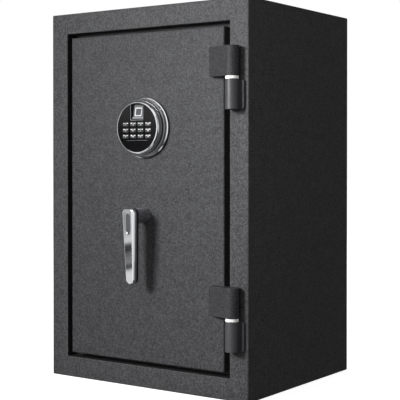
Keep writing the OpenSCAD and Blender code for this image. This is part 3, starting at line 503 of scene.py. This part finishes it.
KNUCKLE_R, KNUCKLE_H, WASHER_H = 11.0, 47.0, 4.5
PIN_HOLE_R, PIN_HOLE_H = 5.05, 38.0
FACE_OFF = Y_FRONT - HINGE_Y - 0.02  # the coat lies a hair off the door's face and the body's
LEAF_REACH, LEAF_T, PAD_REACH = 46.5, 8.0, 17.0
LEAF_CORNER_R, END_EDGE_R = 5.0, 0.8


def knuckle_arc(start, end, count=40):
    """Points of the knuckle's circle from one angle to another, in degrees about the hinge axis."""
    a = np.radians(np.linspace(start, end, count))
    return KNUCKLE_R * np.stack([np.cos(a), np.sin(a)], -1)


def drawn_in(ring, inset):
    """A closed anticlockwise ring moved inwards: each point goes along the mean of its two edges' normals."""
    edge = np.roll(ring, -1, 0) - ring
    normal = np.stack([-edge[:, 1], edge[:, 0]], -1) / np.linalg.norm(edge, axis=1)[:, None]
    mean = normal + np.roll(normal, 1, 0)
    return ring + inset * mean / np.linalg.norm(mean, axis=1)[:, None]


def divided(ring, longest):
    """A closed ring with each of its sides cut into even steps, none over the longest allowed."""
    side = np.roll(ring, -1, 0) - ring
    steps = np.maximum(np.ceil(np.linalg.norm(side, axis=1) / longest), 1).astype(int)
    whose = np.repeat(np.arange(len(ring)), steps)
    done = np.arange(len(whose)) - np.repeat(np.cumsum(steps) - steps, steps)
    return ring[whose] + (done / steps[whose])[:, None] * side[whose]


def fall_back(depth, radius):
    """How far a rounded edge stands back at a depth under the end: radius less the root of the square of
    the radius less the square of what the depth lacks of it."""
    share = np.minimum(depth / radius, 1)
    return radius * (1 - np.sqrt(np.maximum(1 - (1 - share) ** 2, 0)))


def hinge_half(ring, reach, bottom, bored):
    """A hinge half's points and faces: its outline carried up its height, with the ends' edges rounded and
    with the corners of its free end, which is where the reach says, rounded too. The bore for the pin is
    the outline's points drawn to the hole's radius, up to the hole's end and closed at the axis."""
    rise = np.array([0, 0.05, 0.2, 0.45, 0.8, 1.4, 2.2, 3.2, 4.2, 5.0, 12.0])
    rise = np.concatenate([rise, KNUCKLE_H - rise[::-1]])
    depth = np.minimum(rise, KNUCKLE_H - rise)
    inset = 0.02 + fall_back(depth, END_EDGE_R)
    limit = abs(reach) - fall_back(depth, LEAF_CORNER_R) - inset
    levels = []
    if bored:
        hole = PIN_HOLE_R * ring / np.linalg.norm(ring, axis=1)[:, None]
        levels += [(0 * hole, PIN_HOLE_H), (hole, PIN_HOLE_H), (hole, 0)]
    for z, draw, far_x in zip(rise, inset, limit):
        flat = drawn_in(ring, draw)
        flat[:, 0] = np.maximum(flat[:, 0], -far_x) if reach < 0 else np.minimum(flat[:, 0], far_x)
        levels.append((flat, z))
    points = np.array([np.column_stack([flat + (HINGE_X, HINGE_Y), np.full(len(ring), bottom + z)])
                       for flat, z in levels])
    count, total = len(ring), len(ring) * len(levels)
    caps = [list(range(total - count, total))] + ([] if bored else [list(range(count))])
    return points, [*quads(len(levels), count).tolist(), *caps]


# The leaf lies on the door's face and runs straight to the knuckle's tangent
far = np.array([-LEAF_REACH + 1.5, Y_FRONT - HINGE_Y - LEAF_T])
touch = math.degrees(math.atan2(far[1], far[0]) + math.acos(KNUCKLE_R / np.linalg.norm(far)))
touch -= 360 if touch > 90 else 0
door_edge = DOOR_HALF_W - HINGE_X
leaf_end = rounded([[-LEAF_REACH, far[1] + 1.4], [-LEAF_REACH, far[1] + 0.2], far + [1.0, -0.08]],
                   [0, 1.2, 0], 6)
leaf_ring = np.concatenate([[[-LEAF_REACH, FACE_OFF], [-LEAF_REACH, far[1] + 1.5]], leaf_end[1:],
                            knuckle_arc(touch, 90), [[door_edge + 1, KNUCKLE_R], [door_edge, FACE_OFF]]])
# The base's pad stands on the body's front, with a groove beside the knuckle
pad_end = rounded([[10.0, 8.8], [12.8, 9.2], [14.6, 6.4], [PAD_REACH - 0.3, 6.2], [PAD_REACH, FACE_OFF]],
                  [0, 0.8, 0.8, 1.0, 0], 6)
base_ring = np.concatenate([knuckle_arc(141.3, 398), pad_end, [[-10, FACE_OFF], [-10, 8]]])
for level, middle in HINGE_MIDDLES.items():
    leaf = hinge_half(divided(leaf_ring, 1.0), -LEAF_REACH, middle + WASHER_H / 2 + 0.05, True)
    piece(f"{level}_leaf_finish", [(*leaf, paint["hinge_coat"])], "door",
          [f"{level}_hinge_leaf"], 28.0)
    base = hinge_half(base_ring, PAD_REACH, middle - WASHER_H / 2 - KNUCKLE_H, False)
    piece(f"{level}_base_finish", [(*base, paint["hinge_enamel"])], "cabinet",
          [f"{level}_hinge_base"], 28.0)


# Keypad

KEY_W, KEY_H, KEY_R = 12.0, 6.4, 1.6
KEY_STEP_X, KEY_STEP_Z, TOP_ROW_Z = 15.4, 9.9, 5.8
KEY_FOOT = 14.3  # height off the door
LIP_TOP, LIP_W = 15.2, 0.8  # the flange that holds a key behind the lock's face
KEY_TOP = FACE_H + 0.58
INK_H = KEY_TOP - 0.13
INK_T = 0.04
KEY_SIGNS = "123456789*0#"
SIGN_NAMES = {"*": "star", "#": "hash"}


def round_rect_ring(w, h, r, inset, count=6):
    """A rounded rectangle drawn in by the inset: four quarter arcs about its corner centres."""
    ring = []
    for quarter, (sx, sy) in enumerate(((1, 1), (-1, 1), (-1, -1), (1, -1))):
        a = np.radians(90 * quarter + np.linspace(0, 90, count))
        ring.append(np.stack([sx * (w / 2 - r) + (r - inset) * np.cos(a),
                              sy * (h / 2 - r) + (r - inset) * np.sin(a)], -1))
    return np.concatenate(ring)


def on_lock(flat, height):
    """Points of the lock's face plane, x right and y up of its centre, at a height off the door."""
    height = np.broadcast_to(height, flat.shape[:-1])
    return np.stack([LOCK_X + flat[..., 0], Y_FRONT - height, LOCK_Z + flat[..., 1]], -1)


def glyph(text, size, where, height):
    """A printed sign: the font's outline filled and given the ink's thickness, with its middle at where."""
    curve = bpy.data.curves.new("glyph", "FONT")
    curve.body = text
    curve.size = size
    curve.extrude = INK_T / 2
    curve.resolution_u = 5
    maker = bpy.data.objects.new("glyph_maker", curve)
    bpy.context.scene.collection.objects.link(maker)
    flat = bpy.data.meshes.new_from_object(maker.evaluated_get(bpy.context.evaluated_depsgraph_get()))
    points = np.zeros(len(flat.vertices) * 3)
    flat.vertices.foreach_get("co", points)
    points = points.reshape(-1, 3)
    faces = [list(face.vertices) for face in flat.polygons]
    middle = (points.min(0) + points.max(0)) / 2
    bpy.data.objects.remove(maker)
    bpy.data.meshes.remove(flat)
    bpy.data.curves.remove(curve)
    return on_lock(points[:, :2] - middle[:2] + where, height + points[:, 2]), faces


def inked(outline, height, thick=INK_T, place=on_lock):
    """A flat printed shape: its outline at two heights, with a face on each and sides between."""
    outline = np.asarray(outline, float)
    n = len(outline)
    points = np.concatenate([place(outline, height), place(outline, height + thick)])
    sides = [[k, (k + 1) % n, n + (k + 1) % n, n + k] for k in range(n)]
    return points, [list(range(n))[::-1], list(range(n, 2 * n)), *sides]


def key_cap(where):
    """A key: rings of its outline up the flange and the side, over a rounded edge and down into a shallow
    dish, closed by a short line at its foot and in the dish."""
    rows = [(1.58, KEY_FOOT), (-LIP_W, KEY_FOOT), (-LIP_W, LIP_TOP), (0, LIP_TOP), (0, KEY_TOP - 0.45),
            (0.12, KEY_TOP - 0.16), (0.42, KEY_TOP), (0.9, KEY_TOP - 0.05), (1.3, KEY_TOP - 0.12),
            (1.58, KEY_TOP - 0.16)]
    rings = [on_lock(where + round_rect_ring(KEY_W, KEY_H, KEY_R, inset), height) for inset, height in rows]
    count = len(rings[0])
    along = np.clip(round_rect_ring(KEY_W, KEY_H, KEY_R, 0)[:, 0], -4.2, 4.2)
    spine = np.stack([along, np.zeros(count)], -1)
    rings = [on_lock(where + spine, KEY_FOOT), *rings, on_lock(where + spine, KEY_TOP - 0.2)]
    return np.array(rings), quads(len(rings), count)


for index, sign in enumerate(KEY_SIGNS):
    node = "key_" + SIGN_NAMES.get(sign, sign)
    row, column = divmod(index, 4)
    where = np.array([(column - 1.5) * KEY_STEP_X, TOP_ROW_Z - row * KEY_STEP_Z])
    size = 8.5 if sign == "*" else 5.4
    parts = [(*key_cap(where), paint["key_plastic"]),
             (*glyph(sign, size, where + [0, 0.1], INK_H), paint["white_print"])]
    # Two white wedges at the top of each key, beside its sign, are painted highlights of the key's lit top
    # edge, not print
    for side in (-1, 1):
        edge_glint = where + np.array([(2.2, 1.9), (5.2, 1.9), (4.7, 1.0), (2.2, 0.2)]) * [side, 1]
        parts.append((*inked(edge_glint[::side], INK_H + 0.02), paint["white_print"]))
    piece(node + "_cap", parts, node + "_button", [node])

# Fine line under the keys
line = round_rect_ring(44, 0.35, 0.17, 0, 3) + [0, -20.6]
piece("keypad_line", [(*inked(line, FACE_H), paint["satin_silver"])], "door")


# Finger pocket: a satin insert on its sloped floor, with the sensor in a bright frame

POCKET_Z, SENSOR_UP = 12.7, 12.8
POCKET_SHALLOW, POCKET_DEEP = 3.0, 7.0
POCKET_SLOPE = (POCKET_DEEP - POCKET_SHALLOW) / (FACE_R - POCKET_Z)


def on_pocket(flat, height):
    """Points about the sensor's centre on the pocket's floor, which falls away upwards to its deep end."""
    tilt = math.atan(POCKET_SLOPE)
    height = np.broadcast_to(height, flat.shape[:-1])
    up = flat[..., 1] * math.cos(tilt) + height * math.sin(tilt)
    floor_h = FACE_H - POCKET_SHALLOW - POCKET_SLOPE * SENSOR_UP
    out = floor_h - flat[..., 1] * math.sin(tilt) + height * math.cos(tilt)
    return np.stack([LOCK_X + flat[..., 0], Y_FRONT - out, LOCK_Z + POCKET_Z + SENSOR_UP + up], -1)


def frame_ring(w, h, r, rows):
    """A closed moulding round a rounded rectangle: (inset, height) rows carried along its outline."""
    rings = np.array([on_pocket(round_rect_ring(w, h, r, inset), height) for inset, height in rows])
    return rings, quads(len(rows), rings.shape[1])


plate_rows = [(2.0, 0.02), (0.0, 0.02), (0.0, 0.75), (0.15, 0.95), (0.6, 0.95), (0.8, 0.75), (0.95, 0.25),
              (6.0, 0.2)]
plate, plate_faces = frame_ring(22.4, 22.6, 1.0, plate_rows)
plate[..., 0] += 1.1
count, total = plate.shape[1], plate.shape[0] * plate.shape[1]
caps = [list(range(count))[::-1], list(range(total - count, total))]
# The raised strip at the insert's foot is real relief, but its silver is a painted highlight standing in for
# the lit bottom slope of the pocket
foot = [(-11.0, -11.2), (11.8, -11.2), (11.8, -8.6), (-11.0, -8.6)]
piece("pocket_insert", [(plate, [*plate_faces, *caps], paint["pocket_grey"]),
                        (*inked(foot, 0.1, 1.1, on_pocket), paint["satin_silver"])], "door")

bezel_rows = rounded([(0, 0.2), (0, 1.1), (0.4, 1.5), (1.2, 1.5), (1.8, 0.8), (1.8, 0.2), (0, 0.2)],
                     [0, 0.2, 0.3, 0.3, 0.2, 0, 0])
piece("sensor_bezel", [(*frame_ring(14.0, 14.0, 1.0, bezel_rows), paint["bright_edge"])],
      "door", ["sensor_frame"])

# A flat silver strip round the pocket's mouth on its left, bottom and right, open at the top: a painted
# highlight where the mouth's edge catches the light
mouth = [(-13.3, 36.8), (-13.3, 11.9), (12.95, 11.9), (12.95, 36.8), (12.5, 35.6), (12.5, 12.7),
         (-12.5, 12.7), (-12.5, 35.6)]
piece("pocket_rim", [(*inked(mouth, FACE_H), paint["satin_silver"])], "door")


# Floor, light and background, in metres


def plain_plane(name, centre, size, euler, mat):
    """A flat rectangle that isn't part of the safe."""
    half = np.array(size) / 2
    corners = [(-half[0], -half[1], 0), (half[0], -half[1], 0), (half[0], half[1], 0), (-half[0], half[1], 0)]
    mesh = bpy.data.meshes.new(name)
    mesh.from_pydata(corners, [], [(0, 1, 2, 3)])
    mesh.materials.append(mat)
    obj = bpy.data.objects.new(name, mesh)
    obj.location = centre
    obj.rotation_euler = [math.radians(a) for a in euler]
    bpy.context.scene.collection.objects.link(obj)
    return obj


# The floor glows white, a little less near the safe, which paints a soft shade round its foot; the glow rises
# away from the safe so that the floor meets the background without a line
floor_paper, paper = material("pale_floor", "#a8a8a8", 0.9, Emission_Color=(1, 1, 1, 1))
reach = add(floor_paper, "VectorMath", {0: add(floor_paper, "TexCoord").outputs["Object"]}, operation="LENGTH")
rise = add(floor_paper, "MapRange", {"Value": reach.outputs["Value"], "From Min": 0.3, "From Max": 1.1,
                                     "To Min": 0.9, "To Max": 1.0})
join(floor_paper, paper, {"Emission Strength": rise.outputs["Result"]})
floor = plain_plane("floor", (0, 0, -0.0005), (30, 30), (0, 0, 0), floor_paper)
floor.visible_diffuse = floor.visible_glossy = False


def softbox(name, place, target, size, power, mirrored=False):
    """A rectangular lamp at a place, turned to face the target; glossy surfaces show it only if mirrored."""
    lamp = bpy.data.lights.new(name, "AREA")
    lamp.shape = "RECTANGLE"
    lamp.size, lamp.size_y = size
    lamp.energy = power
    obj = bpy.data.objects.new(name, lamp)
    aim = np.array(target, float) - place
    obj.location = place
    obj.rotation_euler = (math.atan2(math.hypot(aim[0], aim[1]), -aim[2]), 0, math.atan2(-aim[0], aim[1]))
    obj.visible_glossy = mirrored
    bpy.context.scene.collection.objects.link(obj)
    return lamp


# The key lamp comes from the upper left and is aimed low and to the right, as the door's shading runs
key = softbox("front_softbox", (-0.42, -1.58, 0.86), (0.40, -0.16, 0.16), (0.45, 0.45), 9.6, True)
key.spread = math.radians(90)
softbox("crest_softbox", (0.45, -1.1, 0.75), (0.12, -0.16, 0.35), (0.7, 0.5), 3.5)
softbox("side_softbox", (3.4, 0.7, 0.9), (0.2, 0, 0.25), (2.0, 2.0), 25)
softbox("left_softbox", (-1.7, 0.0, 1.9), (0, 0.1, 0.32), (1.0, 1.0), 45)
softbox("back_softbox", (-0.5, 2.6, 1.5), (-0.1, 0.16, 0.4), (1.6, 1.6), 30)

# An upright board that the lever's front mirrors from its tip (0) to its top (about 0.23) and beyond: bands
# of (share of the board's height, brightness). It lights nothing and only reflections show it.
BOARD_W, BOARD_H = 0.30, 0.86
BOARD_BANDS = [(0.0, 0.72), (0.050, 0.8), (0.053, 0.02), (0.066, 0.02), (0.070, 0.26), (0.10, 0.12),
               (0.104, 0.02), (0.124, 0.03), (0.128, 0.78), (0.145, 0.62), (0.165, 0.36), (0.205, 0.34),
               (0.225, 0.62), (0.27, 0.3), (0.42, 0.015), (0.49, 0.03), (0.53, 0.3), (1.0, 0.5)]
brightest = max(value for _, value in BOARD_BANDS)
board_mat, glow = material("mirror_board", "#000000", 1.0, Emission_Color=(1, 1, 1, 1),
                           Specular_IOR_Level=0.0)
height = add(board_mat, "SeparateXYZ", {0: add(board_mat, "TexCoord").outputs["Object"]})
share = add(board_mat, "MapRange", {"Value": height.outputs["Y"], "From Min": -BOARD_H / 2,
                                    "From Max": BOARD_H / 2})
ramp = add(board_mat, "ValToRGB", {"Fac": share.outputs["Result"]},
           [(at, (value / brightest,) * 3 + (1,)) for at, value in BOARD_BANDS])
scale = add(board_mat, "Math", {0: ramp.outputs["Color"], 1: brightest}, operation="MULTIPLY")
join(board_mat, glow, {"Emission Strength": scale.outputs[0]})
turn = math.degrees(math.atan2(-0.454, 0.554)) + 180  # faces the lever
board = plain_plane("mirror_board", (-0.577, -0.757, 0.45), (BOARD_W, BOARD_H), (90, 0, turn), board_mat)
board.visible_camera = board.visible_diffuse = board.visible_shadow = False

# White room: the camera sees white, matt surfaces get a little of it, and bright metal mirrors soft glows
# on a dark ground. Each glow has its azimuth from -Y towards +X, its height, the angles from its heart up to
# which it is full and at which it has faded out, all in degrees, and its brightness.
DARK_GROUND, MATT_LEVEL = 0.045, 0.05
GLOWS = (
    (5, 12, 36, 56, 1.0),
    (-42, -24, 25, 33, 0.9),
    (-75, 5, 20, 40, 0.4),
    (-118, 5, 28, 42, 1.0),
    (-25, 56, 14, 26, 0.8),
    (-55, 36, 10, 26, 0.6),
    (55, 25, 15, 42, 0.4),
    (45, 52, 8, 20, 0.95),
    (86, 6, 16, 32, 0.65),
    (24, -54, 7, 14, 0.8),
    (0, -90, 20, 34, 0.3),
    (-100, -48, 10, 20, 0.8),
)
world = bpy.data.worlds.new("white_room")
world.use_nodes = True
world.node_tree.nodes.clear()
bpy.context.scene.world = world
path = add(world, "LightPath")
toward = add(world, "TexCoord").outputs["Generated"]
level = DARK_GROUND
for azimuth, height, core, reach, brightness in GLOWS:
    a, e = math.radians(azimuth), math.radians(height)
    heart = (math.sin(a) * math.cos(e), -math.cos(a) * math.cos(e), math.sin(e))
    near = add(world, "VectorMath", {0: toward, 1: heart}, operation="DOT_PRODUCT")
    glow = add(world, "MapRange", {"Value": near.outputs["Value"], "From Min": math.cos(math.radians(reach)),
                                   "From Max": math.cos(math.radians(core)), "To Max": brightness},
               interpolation_type="SMOOTHSTEP")
    level = add(world, "Math", {0: level, 1: glow.outputs["Result"]}, operation="MAXIMUM").outputs[0]
seen, mirrored, matt = (add(world, "Background", {"Color": (1, 1, 1, 1), "Strength": strength})
                        for strength in (1.0, level, MATT_LEVEL))
indoors = add(world, "MixShader", {0: path.outputs["Is Glossy Ray"], 1: matt.outputs[0],
                                   2: mirrored.outputs[0]})
blend = add(world, "MixShader", {0: path.outputs["Is Camera Ray"], 1: indoors.outputs[0], 2: seen.outputs[0]})
add(world, "OutputWorld", {"Surface": blend.outputs[0]})
